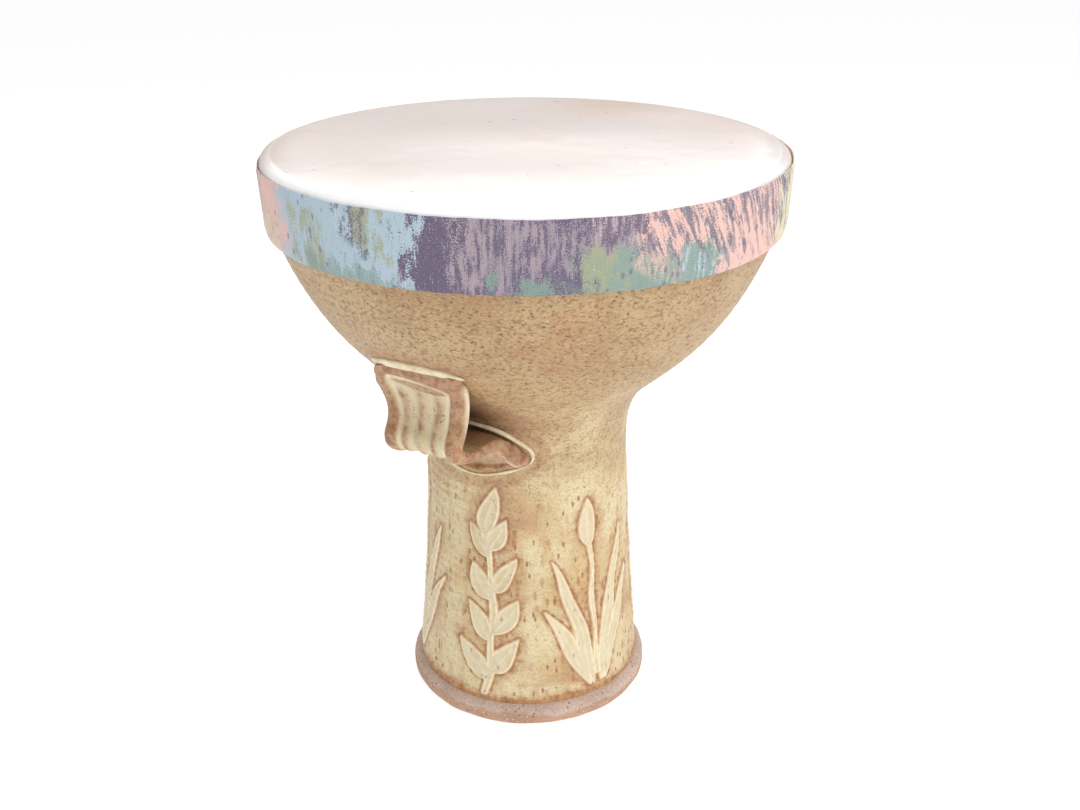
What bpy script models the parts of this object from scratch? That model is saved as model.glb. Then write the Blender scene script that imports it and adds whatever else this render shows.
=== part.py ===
"""Stoneware goblet drum: a thrown bowl and stem luted together at the throat, a bare foot ring,
a ribbed strap handle, a goatskin head glued over the rim and a printed cloth band that hides its edge.

Metres, +Z up. The origin is the centre of the foot's resting face, and the handle points to -X.
"""

import math

import bmesh
import bpy
from mathutils import Vector

# Shell sizes: the bowl's upright collar and rim
RIM_HEIGHT = 0.2760
RIM_RADIUS = 0.1174
COLLAR_HEIGHT = 0.0305
COLLAR_TAPER = 0.0016
RIM_OUTER_ROUND = 0.0045
RIM_INNER_ROUND = 0.0025
SHELL_WALL = 0.0080

# Shell sizes: the bowl's curve from the collar down to the waist. A fullness is a share of the curve's height
BOWL_LIP_ANGLE = math.radians(19.4)
BOWL_LIP_FULLNESS = 0.77
THROAT_FULLNESS = 0.42
WAIST_RADIUS = 0.0489
WAIST_HEIGHT = 0.1366

# Shell sizes: the stem below the waist, and the luted seam above it
STEM_FOOT_RADIUS = 0.0574
STEM_FOOT_ANGLE = math.radians(5.2)
STEM_FOOT_FULLNESS = 0.24
STEM_WAIST_FULLNESS = 0.29
SEAM_ABOVE_WAIST = 0.0270
SEAM_SLIP_THICKNESS = 0.0012

# Foot ring: a roll of bare clay that the stem stands in
FOOT_RING_HEIGHT = 0.0101
FOOT_RING_LIP = 0.0034
FOOT_LEDGE = 0.0042
FOOT_TOP_ROUND = 0.0030
FOOT_ROUND = 0.0028
FOOT_CHAMFER = 0.0020

# Head: goatskin, the glue that holds it and the cloth band over its edge
SKIN_THICKNESS = 0.0006
SKIN_SKIRT = 0.0250
GLUE_THICKNESS = 0.0004
GLUE_MARGIN = 0.0012
BAND_THICKNESS = 0.0009
BAND_HEIGHT = 0.0302
BAND_BELOW_CROWN = 0.0022

# Handle: a pulled strap that hangs from the bowl, runs in under itself and turns down on to the stem.
# Its top and its run are placed at shares of the bowl's height, and its leg hangs inside its top's radius
HANDLE_TOP_SHARE = 0.575
HANDLE_RUN_SHARE = 0.1745
HANDLE_INSET = 0.0108
HANDLE_SWAY = 0.0022
HANDLE_THICKNESS = 0.0055
HANDLE_TOP_WIDTH = 0.0520
HANDLE_TOP_DROOP = 0.0040
HANDLE_WAIST_WIDTH = 0.0390
HANDLE_KNEE_ABOVE_RUN = 0.0090
HANDLE_TURN_BELOW_RUN = 0.0075
HANDLE_PAD_THICKNESS = 0.0045
HANDLE_PAD_EDGE = 0.0015
HANDLE_PAD_WIDTH = 0.0550
HANDLE_PAD_HEIGHT = 0.0208
HANDLE_PAD_END_SHARE = 0.35
BORDER_WIDTH = 0.0060
BORDER_RISE = 0.0018
RIB_COUNT = 3
RIB_RISE = 0.0011

# Coils of slip pressed along the handle's two joints
SLIP_COIL_RADIUS = 0.0014
SLIP_COIL_RISE = math.radians(25.0)

# Finishes, as a colour and a roughness
TAN_GLAZE = ((0.60, 0.41, 0.19), 0.45)
CREAM_GLAZE = ((0.69, 0.52, 0.22), 0.42)
PALE_SLIP = ((0.78, 0.70, 0.47), 0.60)
BARE_CLAY = ((0.35, 0.20, 0.14), 0.85)
GOATSKIN = ((0.88, 0.83, 0.78), 0.50)
HIDE_GLUE = ((0.45, 0.27, 0.10), 0.35)
PRINTED_CLOTH = ((0.38, 0.45, 0.52), 0.90)

# Fits and facets
CLEARANCE = 0.0003
BITE = 0.0025
ROUND_STEPS = 48
ARC_STEPS = 4
BOWL_STEPS = 12
STEM_STEPS = 9
LEG_STATIONS = 9
BEND_STATIONS = 6
PAD_STATIONS = 6
COIL_STEPS = 16
COIL_SIDES = 8
HALVINGS = 40
SLOPE_STEP = 0.0005
SHARP_ANGLE = math.radians(35.0)
WELD = 1e-7

# Heights and radii that follow from the sizes above
COLLAR_FOOT_HEIGHT = RIM_HEIGHT - COLLAR_HEIGHT
COLLAR_FOOT_RADIUS = RIM_RADIUS - COLLAR_TAPER
SEAM_HEIGHT = WAIST_HEIGHT + SEAM_ABOVE_WAIST
STEM_FOOT_HEIGHT = FOOT_LEDGE + CLEARANCE
RIM_ROUND_FOOT = RIM_HEIGHT - RIM_OUTER_ROUND
SKIN_HEM = RIM_HEIGHT - SKIN_SKIRT
SKIN_UNDERSIDE = RIM_HEIGHT + CLEARANCE
SKIN_TOP = SKIN_UNDERSIDE + SKIN_THICKNESS
GLUE_SIDE = CLEARANCE
SKIN_SIDE = GLUE_SIDE + GLUE_THICKNESS + CLEARANCE
BAND_SIDE = SKIN_SIDE + SKIN_THICKNESS + CLEARANCE
BOWL_RISE = COLLAR_FOOT_HEIGHT - WAIST_HEIGHT
STEM_RISE = WAIST_HEIGHT - STEM_FOOT_HEIGHT
HANDLE_TOP = WAIST_HEIGHT + HANDLE_TOP_SHARE * BOWL_RISE
HANDLE_RUN = WAIST_HEIGHT + HANDLE_RUN_SHARE * BOWL_RISE
PAD_TOP = HANDLE_RUN - HANDLE_TURN_BELOW_RUN
PAD_BOTTOM = HANDLE_RUN - HANDLE_PAD_HEIGHT


# Curves of the shell's outer wall, as (radius, height) pairs


def bezier(ends, share):
    """A point on the cubic curve with these four control points."""
    a, b, c, d = (Vector(p) for p in ends)
    rest = 1.0 - share
    return a * rest**3 + b * (3 * rest**2 * share) + c * (3 * rest * share**2) + d * share**3


BOWL_PULL = BOWL_LIP_FULLNESS * BOWL_RISE
BOWL_CURVE = (
    (WAIST_RADIUS, WAIST_HEIGHT),
    (WAIST_RADIUS, WAIST_HEIGHT + THROAT_FULLNESS * BOWL_RISE),
    (
        COLLAR_FOOT_RADIUS - BOWL_PULL * math.sin(BOWL_LIP_ANGLE),
        COLLAR_FOOT_HEIGHT - BOWL_PULL * math.cos(BOWL_LIP_ANGLE),
    ),
    (COLLAR_FOOT_RADIUS, COLLAR_FOOT_HEIGHT),
)
STEM_PULL = STEM_FOOT_FULLNESS * STEM_RISE
STEM_CURVE = (
    (STEM_FOOT_RADIUS, STEM_FOOT_HEIGHT),
    (
        STEM_FOOT_RADIUS - STEM_PULL * math.sin(STEM_FOOT_ANGLE),
        STEM_FOOT_HEIGHT + STEM_PULL * math.cos(STEM_FOOT_ANGLE),
    ),
    (WAIST_RADIUS, WAIST_HEIGHT - STEM_WAIST_FULLNESS * STEM_RISE),
    (WAIST_RADIUS, WAIST_HEIGHT),
)


def curve_radius(ends, height):
    """The radius at a height on a curve that only climbs."""
    low, high = 0.0, 1.0
    for _ in range(HALVINGS):
        middle = (low + high) / 2
        if bezier(ends, middle)[1] < height:
            low = middle
        else:
            high = middle
    return bezier(ends, low)[0]


def outer_radius(height):
    """The radius of the shell's outer wall at a height."""
    if height >= COLLAR_FOOT_HEIGHT:
        return COLLAR_FOOT_RADIUS + COLLAR_TAPER * (height - COLLAR_FOOT_HEIGHT) / COLLAR_HEIGHT
    return curve_radius(BOWL_CURVE if height >= WAIST_HEIGHT else STEM_CURVE, height)


def wall_lean(height):
    """How far the outer wall leans out of the vertical at a height."""
    climb = outer_radius(height + SLOPE_STEP) - outer_radius(height - SLOPE_STEP)
    return math.atan(climb / (2 * SLOPE_STEP))


def inner_radius(height):
    """The radius of the shell's inner wall, one wall thickness in from the outer wall."""
    return outer_radius(height) - SHELL_WALL / math.cos(wall_lean(height))


def arc(centre, radii, start, end):
    """An arc about a centre, with its own radius each way, from a start to an end angle."""
    angles = [start + (end - start) * i / ARC_STEPS for i in range(ARC_STEPS + 1)]
    return [(centre[0] + radii[0] * math.cos(a), centre[1] + radii[1] * math.sin(a)) for a in angles]


def spaced(low, high, steps):
    """Evenly spaced values with both ends."""
    return [low + (high - low) * i / steps for i in range(steps + 1)]


# Making of objects


def finished(name, bm, finish, parent):
    """Turns a bmesh into a smooth-shaded object with its own material, parented to the drum's empty."""
    bmesh.ops.remove_doubles(bm, verts=bm.verts, dist=WELD)
    bmesh.ops.recalc_face_normals(bm, faces=bm.faces)
    mesh = bpy.data.meshes.new(name)
    bm.to_mesh(mesh)
    bm.free()
    mesh.shade_smooth()
    mesh.set_sharp_from_angle(angle=SHARP_ANGLE)
    made = bpy.data.objects.new(name, mesh)
    bpy.context.scene.collection.objects.link(made)
    made.parent = parent
    colour, roughness = finish
    surface = bpy.data.materials.new(f"{name}_finish")
    surface.use_nodes = True
    shader = surface.node_tree.nodes["Principled BSDF"]
    shader.inputs["Base Color"].default_value = (*colour, 1.0)
    shader.inputs["Roughness"].default_value = roughness
    shader.inputs["Metallic"].default_value = 0.0
    mesh.materials.append(surface)
    return made


def turned(name, outline, finish, parent):
    """Spins (radius, height) points about the drum's axis. An outline that starts on the axis ends there."""
    bm = bmesh.new()
    points = [bm.verts.new((radius, 0.0, height)) for radius, height in outline]
    ends = list(zip(points, points[1:]))
    if outline[0][0] > 0.0:
        ends.append((points[-1], points[0]))
    edges = [bm.edges.new(pair) for pair in ends]
    bmesh.ops.spin(
        bm,
        geom=points + edges,
        cent=(0, 0, 0),
        axis=(0, 0, 1),
        angle=math.tau,
        steps=ROUND_STEPS,
        use_merge=True,
    )
    return finished(name, bm, finish, parent)


def lofted(bm, rings):
    """Adds a closed body through rings of points, each ring with as many points, capped at both ends."""
    rows = [[bm.verts.new(point) for point in ring] for ring in rings]
    count = len(rows[0])
    for low, high in zip(rows, rows[1:]):
        for i in range(count):
            j = (i + 1) % count
            bm.faces.new((low[i], low[j], high[j], high[i]))
    bm.faces.new(rows[0][::-1])
    bm.faces.new(rows[-1])


def tube_rings(path, radius, sides):
    """Rings of points round a path, square to it, with no twist along it."""
    rings = []
    up = Vector((0.0, 0.0, 1.0))
    for i, point in enumerate(path):
        along = (path[min(i + 1, len(path) - 1)] - path[max(i - 1, 0)]).normalized()
        across = along.cross(up).normalized()
        up = across.cross(along)
        turns = [math.tau * k / sides for k in range(sides)]
        rings.append([point + (across * math.cos(a) + up * math.sin(a)) * radius for a in turns])
    return rings


def trimmed(target, cutter):
    """Cuts a hidden helper away from the target."""
    cutter.hide_render = True
    cutter.display_type = "WIRE"
    cut = target.modifiers.new(cutter.name, "BOOLEAN")
    cut.operation = "DIFFERENCE"
    cut.solver = "EXACT"
    cut.object = cutter


# The thrown shell


def make_bowl(finish, parent):
    """The bowl, from its rounded rim down to the flat edge that is luted to the stem."""
    base = SEAM_HEIGHT + SEAM_SLIP_THICKNESS + CLEARANCE
    levels = spaced(base, COLLAR_FOOT_HEIGHT, BOWL_STEPS)
    crown = outer_radius(RIM_HEIGHT) - RIM_OUTER_ROUND
    inner_round = (SHELL_WALL - RIM_OUTER_ROUND, RIM_INNER_ROUND)
    outer_round = (RIM_OUTER_ROUND, RIM_OUTER_ROUND)
    outline = [(inner_radius(z), z) for z in levels]
    outline += arc((crown, RIM_HEIGHT - RIM_INNER_ROUND), inner_round, math.pi, math.pi / 2)
    outline += arc((crown, RIM_ROUND_FOOT), outer_round, math.pi / 2, 0.0)[1:]
    outline += [(outer_radius(z), z) for z in reversed(levels)]
    return turned("bowl_shell", outline, finish, parent)


def make_stem(finish, parent):
    """The stem, an open tube that flares to the foot and ends square inside the foot ring."""
    low = spaced(STEM_FOOT_HEIGHT, WAIST_HEIGHT, STEM_STEPS)
    levels = low + spaced(WAIST_HEIGHT, SEAM_HEIGHT - CLEARANCE, ARC_STEPS)[1:]
    outline = [(inner_radius(z), z) for z in levels]
    outline += [(outer_radius(z), z) for z in reversed(levels)]
    return turned("stem_tube", outline, finish, parent)


def make_seam_slip(finish, parent):
    """The washer of slip that lutes the bowl to the stem."""
    levels = (SEAM_HEIGHT, SEAM_HEIGHT + SEAM_SLIP_THICKNESS)
    outline = [(inner_radius(z), z) for z in levels]
    outline += [(outer_radius(z), z) for z in reversed(levels)]
    return turned("throat_slip_ring", outline, finish, parent)


def make_foot_ring(finish, parent):
    """The bare foot: the stem stands on its ledge, inside its rounded lip."""
    stem_side = outer_radius(STEM_FOOT_HEIGHT) + CLEARANCE
    outside = stem_side + FOOT_RING_LIP
    bore = inner_radius(STEM_FOOT_HEIGHT)
    outline = [(bore, FOOT_CHAMFER), (bore, FOOT_LEDGE), (stem_side, FOOT_LEDGE)]
    top_round = (FOOT_RING_LIP, FOOT_TOP_ROUND)
    outline += arc((stem_side, FOOT_RING_HEIGHT - FOOT_TOP_ROUND), top_round, math.pi / 2, 0.0)
    low_round = (FOOT_ROUND, FOOT_ROUND)
    outline += arc((outside - FOOT_ROUND, FOOT_ROUND), low_round, 0.0, -math.pi / 2)
    outline += [(bore + FOOT_CHAMFER, 0.0)]
    return turned("foot_ring", outline, finish, parent)


# The head


def collar_line(low, high, side):
    """Points that follow the collar's outside at a distance, straight on down below its foot."""
    levels = [low, high]
    if low < COLLAR_FOOT_HEIGHT < high:
        levels.insert(1, COLLAR_FOOT_HEIGHT)
    return [(outer_radius(max(z, COLLAR_FOOT_HEIGHT)) + side, z) for z in levels]


def sleeve(name, side, thickness, low, high, finish, parent):
    """A thin ring round the collar."""
    outline = collar_line(low, high, side) + collar_line(low, high, side + thickness)[::-1]
    return turned(name, outline, finish, parent)


def make_skin(finish, parent):
    """The skin: flat over the rim's crown, round its outer edge and down the collar as a skirt."""
    crown = outer_radius(RIM_HEIGHT) - RIM_OUTER_ROUND

    def layer(top, side):
        """One face of the skin, from the axis to its hem."""
        radii = (outer_radius(RIM_ROUND_FOOT) + side - crown, top - RIM_ROUND_FOOT)
        edge = arc((crown, RIM_ROUND_FOOT), radii, math.pi / 2, 0.0)
        return [(0.0, top), *edge[:-1], *reversed(collar_line(SKIN_HEM, RIM_ROUND_FOOT, side))]

    outside = layer(SKIN_TOP, SKIN_SIDE + SKIN_THICKNESS)
    inside = layer(SKIN_UNDERSIDE, SKIN_SIDE)
    return turned("drum_skin", outside + inside[::-1], finish, parent)


def make_glue(finish, parent):
    """The glue between the collar and the skin's skirt."""
    low = SKIN_HEM + GLUE_MARGIN
    high = RIM_ROUND_FOOT - GLUE_MARGIN
    return sleeve("skin_glue_ring", GLUE_SIDE, GLUE_THICKNESS, low, high, finish, parent)


def make_band(finish, parent):
    """The cloth band over the skirt, from just under the crown to the collar's foot."""
    high = SKIN_TOP - BAND_BELOW_CROWN
    return sleeve("cloth_band", BAND_SIDE, BAND_THICKNESS, high - BAND_HEIGHT, high, finish, parent)


# The handle


def smooth(low, high, value):
    """Goes gently from 0 at the low value to 1 at the high one."""
    share = min(1.0, max(0.0, (value - low) / (high - low)))
    return share * share * (3 - 2 * share)


def pad_stand_off(height):
    """How far the pad's outer face stands off the stem, thinner towards its lower edge."""
    return HANDLE_PAD_EDGE + (HANDLE_PAD_THICKNESS - HANDLE_PAD_EDGE) * smooth(PAD_BOTTOM, PAD_TOP, height)


def strap_stations():
    """The strap's middle line from the bowl to the pad's lower edge, as (radius, height, thickness)."""
    strap_radius = outer_radius(HANDLE_TOP) - HANDLE_INSET
    knee = (strap_radius + HANDLE_SWAY, HANDLE_RUN + HANDLE_KNEE_ABOVE_RUN)
    third = (HANDLE_TOP - knee[1]) / 3
    pad_radius = outer_radius(PAD_TOP) + (HANDLE_PAD_THICKNESS - BITE) / 2
    half_run = ((strap_radius + pad_radius) / 2, HANDLE_RUN)
    leg = (
        (outer_radius(HANDLE_TOP) - BITE, HANDLE_TOP),
        (strap_radius + HANDLE_SWAY / 2, HANDLE_TOP - third),
        (strap_radius - 2 * HANDLE_SWAY, knee[1] + third),
        knee,
    )
    bend = (
        knee,
        (strap_radius + 2 * HANDLE_SWAY, HANDLE_RUN + HANDLE_KNEE_ABOVE_RUN / 2),
        (strap_radius + HANDLE_SWAY, HANDLE_RUN),
        half_run,
    )
    turn = (
        half_run,
        ((half_run[0] + 2 * pad_radius) / 3, HANDLE_RUN),
        (pad_radius, HANDLE_RUN - HANDLE_TURN_BELOW_RUN / 3),
        (pad_radius, PAD_TOP),
    )
    stations = []
    for curve, count in ((leg, LEG_STATIONS), (bend, BEND_STATIONS), (turn, BEND_STATIONS)):
        stations += [(*bezier(curve, i / count), HANDLE_THICKNESS) for i in range(count)]
    for height in reversed(spaced(PAD_BOTTOM, PAD_TOP, PAD_STATIONS)):
        stand_off = pad_stand_off(height)
        stations.append((outer_radius(height) + (stand_off - BITE) / 2, height, stand_off + BITE))
    return stations


def strap_half_width(height):
    """Half the strap's width: wide on the bowl, narrow at the knee and oval on the stem."""
    flare = smooth(HANDLE_RUN, HANDLE_TOP, height) ** 2
    strap = (HANDLE_WAIST_WIDTH + (HANDLE_TOP_WIDTH - HANDLE_WAIST_WIDTH) * flare) / 2
    half_height = HANDLE_PAD_HEIGHT / 2
    offset = (height - HANDLE_RUN + half_height) / half_height
    oval = HANDLE_PAD_WIDTH / 2 * max(HANDLE_PAD_END_SHARE, math.sqrt(max(0.0, 1.0 - offset * offset)))
    return oval if offset < 0 else max(strap, oval)


def face_relief(across, half_width, ribbed):
    """How far the strap's outer face stands up at a distance from its middle: borders, floor and ribs."""
    floor_half = half_width - BORDER_WIDTH
    if abs(across) >= floor_half:
        return BORDER_RISE
    wave = math.cos(math.pi * (RIB_COUNT + 1) * (across + floor_half) / floor_half)
    return ribbed * RIB_RISE * (1.0 - wave) / 2


def strap_ring(station, along):
    """One ring of points round the strap: its ribbed outer face, then its plain inner face."""
    radius, height, thickness = station
    half_width = strap_half_width(height)
    floor_half = half_width - BORDER_WIDTH
    edge = thickness / 3
    ribbed = smooth(HANDLE_RUN, HANDLE_RUN + HANDLE_KNEE_ABOVE_RUN, height)
    wrap = 1.0 - smooth(PAD_TOP, HANDLE_RUN, height) + smooth(HANDLE_RUN, HANDLE_TOP, height)
    droop = HANDLE_TOP_DROOP * smooth(HANDLE_RUN, HANDLE_TOP, height)
    face = [edge - half_width]
    face += [floor_half * (i / (RIB_COUNT + 1) - 1) for i in range(2 * RIB_COUNT + 3)]
    face += [half_width - edge]
    ring = [(y, thickness / 2 + face_relief(y, half_width, ribbed)) for y in face]
    ring += [
        (half_width, thickness / 2),
        (half_width, edge - thickness / 2),
        (half_width - edge, -thickness / 2),
        *[(y, -thickness / 2) for y in (floor_half / 2, 0.0, -floor_half / 2)],
        (edge - half_width, -thickness / 2),
        (-half_width, edge - thickness / 2),
        (-half_width, thickness / 2),
    ]
    points = []
    for y, lift in ring:
        out = radius - along[1] * lift
        up = height + along[0] * lift - droop * (y / half_width) ** 2
        x = out + wrap * out * (math.cos(y / out) - 1.0)
        points.append(Vector((-x, y + wrap * (out * math.sin(y / out) - y), up)))
    return points


def on_wall(angle, height, lift):
    """A point standing off the outer wall, at an angle round from the handle."""
    radius = outer_radius(height) + lift
    return Vector((-radius * math.cos(angle), radius * math.sin(angle), height))


def make_wall_cutter(finish, parent):
    """The drum's outside grown by the clearance, which trims whatever is luted on to it."""
    levels = spaced(STEM_FOOT_HEIGHT, WAIST_HEIGHT, STEM_STEPS)
    levels += spaced(WAIST_HEIGHT, SEAM_HEIGHT - CLEARANCE, ARC_STEPS)[1:]
    base = SEAM_HEIGHT + SEAM_SLIP_THICKNESS + CLEARANCE
    levels += spaced(base, COLLAR_FOOT_HEIGHT, BOWL_STEPS)
    wall = [(outer_radius(z) + CLEARANCE / math.cos(wall_lean(z)), z) for z in levels]
    outline = [(0.0, levels[-1]), *reversed(wall), (0.0, levels[0])]
    return turned("wall_cutter", outline, finish, parent)


def make_handle(finish, parent):
    """The strap from its level end on the bowl to the pad on the stem, its two joints cut to the wall."""
    stations = strap_stations()
    rings = []
    for i, station in enumerate(stations):
        ahead = stations[min(i + 1, len(stations) - 1)]
        behind = stations[max(i - 1, 0)]
        level_end = Vector((0.0, -1.0))
        along = (Vector(ahead[:2]) - Vector(behind[:2])).normalized() if i else level_end
        rings.append(strap_ring(station, along))
    bm = bmesh.new()
    lofted(bm, rings)
    strap = finished("strap_handle", bm, finish, parent)
    trimmed(strap, make_wall_cutter(finish, parent))
    return strap


def slip_coil(name, line, finish, parent):
    """A coil of slip lying on the wall along a line of (angle, height) pairs."""
    path = []
    for angle, height in line:
        lean = wall_lean(height)
        off = SLIP_COIL_RADIUS + CLEARANCE
        path.append(on_wall(angle, height, 0.0) + Vector((
            -off * math.cos(lean) * math.cos(angle),
            off * math.cos(lean) * math.sin(angle),
            -off * math.sin(lean),
        )))
    bm = bmesh.new()
    lofted(bm, tube_rings(path, SLIP_COIL_RADIUS, COIL_SIDES))
    return finished(name, bm, finish, parent)


def make_slip_coils(finish, parent):
    """The coil above the strap's level upper end, and the one round the lower side of its pad."""
    off = SLIP_COIL_RADIUS + CLEARANCE
    half_width = HANDLE_TOP_WIDTH / 2
    top = HANDLE_TOP + off * (1.0 + math.sin(wall_lean(HANDLE_TOP)))
    upper = []
    for y in spaced(-half_width, half_width, COIL_STEPS):
        upper.append((y / outer_radius(HANDLE_TOP), top - HANDLE_TOP_DROOP * (y / half_width) ** 2))
    slip_coil("upper_slip_coil", upper, finish, parent)
    middle = HANDLE_RUN - HANDLE_PAD_HEIGHT / 2
    reach = HANDLE_PAD_WIDTH / 2 + off
    drop = HANDLE_PAD_HEIGHT / 2 + 2 * off
    lower = []
    for turn in spaced(-math.pi - SLIP_COIL_RISE, SLIP_COIL_RISE, COIL_STEPS):
        lower.append((reach * math.cos(turn) / WAIST_RADIUS, middle + drop * math.sin(turn)))
    slip_coil("lower_slip_coil", lower, finish, parent)


def main():
    for old in list(bpy.data.objects):
        bpy.data.objects.remove(old)
    drum = bpy.data.objects.new("goblet_drum", None)
    bpy.context.scene.collection.objects.link(drum)
    make_bowl(TAN_GLAZE, drum)
    make_seam_slip(PALE_SLIP, drum)
    make_stem(CREAM_GLAZE, drum)
    make_foot_ring(BARE_CLAY, drum)
    make_skin(GOATSKIN, drum)
    make_glue(HIDE_GLUE, drum)
    make_band(PRINTED_CLOTH, drum)
    make_handle(TAN_GLAZE, drum)
    make_slip_coils(PALE_SLIP, drum)


main()
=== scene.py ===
"""A stoneware goblet drum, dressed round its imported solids. Sizes are in millimetres until a mesh is made.

The drum stands on its foot with its axis on Z, and its handle points to -X.
"""

from math import copysign, cos, pi, radians, sin, tau

import bpy
import numpy as np
from mathutils import Matrix


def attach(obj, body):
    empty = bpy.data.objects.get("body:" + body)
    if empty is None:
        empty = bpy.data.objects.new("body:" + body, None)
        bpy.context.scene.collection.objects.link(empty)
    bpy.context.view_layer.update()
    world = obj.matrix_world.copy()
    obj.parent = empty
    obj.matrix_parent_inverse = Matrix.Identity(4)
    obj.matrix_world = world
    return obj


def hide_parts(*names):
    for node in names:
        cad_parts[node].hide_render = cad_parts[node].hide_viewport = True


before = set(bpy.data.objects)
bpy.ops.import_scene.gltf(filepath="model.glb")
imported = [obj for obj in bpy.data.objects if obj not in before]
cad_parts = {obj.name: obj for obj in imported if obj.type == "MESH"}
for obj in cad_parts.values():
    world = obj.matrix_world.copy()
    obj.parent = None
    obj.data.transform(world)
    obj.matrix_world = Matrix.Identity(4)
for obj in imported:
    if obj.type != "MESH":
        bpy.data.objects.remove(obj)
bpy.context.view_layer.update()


# The bowl. Thrown stoneware about 8 mm thick, a swelling curve from the narrow throat to an upright collar
# that the skin is glued to. The potter's fingers left faint rings, and the tan glaze broke into iron specks.

MM = 0.001
SHELL_WALL = 8.0
WAIST_RADIUS, WAIST_HEIGHT = 48.9, 136.6
COLLAR_RADIUS, COLLAR_HEIGHT, COLLAR_LEAN = 115.8, 245.5, 19.4
RIM_RADIUS, RIM_HEIGHT, RIM_ROUND = 117.4, 276.0, 4.5
RIM_TURN = RIM_HEIGHT - RIM_ROUND
STEM_RADIUS, STEM_FOOT, STEM_LEAN = 57.4, 4.5, 5.2
THROAT_SEAM = 164.2
BOWL_TURNS = 288
THROWING_PITCH, THROWING_DEPTH = 4.6, 0.15
CREASE = radians(55.0)
JOINT_CROWN, JOINT_ARCH = 204.5, 0.0062
BLUSH_ANGLE, FLUSH_ANGLE, BLUSH_RADIUS = radians(218.5), radians(258.0), 97.0


def curves(ends, *counts):
    """Points along cubic curves laid end to end: a first control point, then three more for each curve."""
    lines = []
    for i, count in enumerate(counts):
        share = np.linspace(0, 1, count)[:, None]
        rest = 1 - share
        a, b, c, d = (np.array(end, float) for end in ends[3 * i : 3 * i + 4])
        line = a * rest**3 + 3 * b * rest**2 * share + 3 * c * rest * share**2 + d * share**3
        lines.append(line if i == 0 else line[1:])
    return np.concatenate(lines)


def pulled(radius, height, angle, length):
    """A control point a length along a line that leans out of the upright by an angle, in degrees."""
    lean = radians(angle)
    return (radius - length * sin(lean), height + length * cos(lean))


bowl_rise = COLLAR_HEIGHT - WAIST_HEIGHT
stem_rise = WAIST_HEIGHT - STEM_FOOT
wall_ends = [
    (STEM_RADIUS, STEM_FOOT),
    pulled(STEM_RADIUS, STEM_FOOT, STEM_LEAN, 0.24 * stem_rise),
    (WAIST_RADIUS, WAIST_HEIGHT - 0.29 * stem_rise),
    (WAIST_RADIUS, WAIST_HEIGHT),
    (WAIST_RADIUS, WAIST_HEIGHT + 0.42 * bowl_rise),
    pulled(COLLAR_RADIUS, COLLAR_HEIGHT, 180 - COLLAR_LEAN, 0.77 * bowl_rise),
    (COLLAR_RADIUS, COLLAR_HEIGHT),
]
wall_line = np.concatenate([curves(wall_ends, 240, 240), [(RIM_RADIUS, RIM_HEIGHT)]])


def wall_radius(height):
    """The radius of the pot's outside at a height."""
    return np.interp(height, wall_line[:, 1], wall_line[:, 0])


def wall_lean(height):
    """How far the wall leans out of the upright at a height, in radians."""
    return np.arctan(wall_radius(height + 0.5) - wall_radius(height - 0.5))


def inner_radius(height):
    """The radius of the pot's inside at a height."""
    return wall_radius(height) - SHELL_WALL / np.cos(wall_lean(height))


def swell(low, high, value):
    """Goes gently from 0 at the low value to 1 at the high one."""
    share = np.clip((value - low) / (high - low), 0, 1)
    return share * share * (3 - 2 * share)


def hump(value, middle, width):
    """A soft rise of height 1 about a middle."""
    return np.exp(-(((value - middle) / width) ** 2))


def hand_wobble(angle, height):
    """How far a hand-thrown wall stands off a true circle: finger rings that climb, and a slow waver."""
    rings = np.sin(tau * height / THROWING_PITCH + angle + 0.8 * np.sin(3 * angle + height / 17))
    waver = 0.16 * np.sin(2 * angle + height / 40) + 0.10 * np.sin(3 * angle - height / 23 + 1)
    strength = 0.35 + 0.65 * (0.5 + 0.5 * np.sin(height / 9 + 2 * np.sin(angle)))
    return THROWING_DEPTH * rings * strength + waver


def on_axis(radius, angle, height):
    """Points at a radius, an angle about the drum's axis and a height."""
    radius, angle, height = np.broadcast_arrays(radius, angle, height)
    return np.stack([radius * np.cos(angle), radius * np.sin(angle), height], axis=-1)


def placed(name, data):
    """A new object in the scene."""
    made = bpy.data.objects.new(name, data)
    bpy.context.scene.collection.objects.link(made)
    return made


def closed_mesh(name, rows, looped):
    """A closed piece through loops of points in rows. The last row meets the first, or both are capped."""
    count, across = rows.shape[:2]
    index = np.arange(count * across).reshape(count, across)
    upper = np.roll(index, -1, axis=0)
    if not looped:
        index, upper = index[:-1], upper[:-1]
    corners = [index, np.roll(index, -1, 1), np.roll(upper, -1, 1), upper]
    faces = np.stack(corners, axis=-1).reshape(-1, 4).tolist()
    if not looped:
        faces.append(list(range(across))[::-1])
        faces.append(list(range((count - 1) * across, count * across)))
    mesh = bpy.data.meshes.new(name)
    mesh.from_pydata((rows.reshape(-1, 3) * MM).tolist(), [], faces)
    mesh.shade_smooth()
    mesh.set_sharp_from_angle(angle=CREASE)
    return placed(name, mesh)


def paint_on(piece, name, values):
    """Stores one number for each point of a piece, which its finish reads by name."""
    layer = piece.data.attributes.new(name, "FLOAT", "POINT")
    layer.data.foreach_set("value", np.ascontiguousarray(values, np.float32).ravel())


def colour(code):
    """A colour as it looks on a screen, six hex digits, as the linear light that a shader takes."""
    parts = [int(code[i : i + 2], 16) / 255 for i in (0, 2, 4)]
    return tuple(p / 12.92 if p <= 0.04045 else ((p + 0.055) / 1.055) ** 2.4 for p in parts) + (1,)


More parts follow.
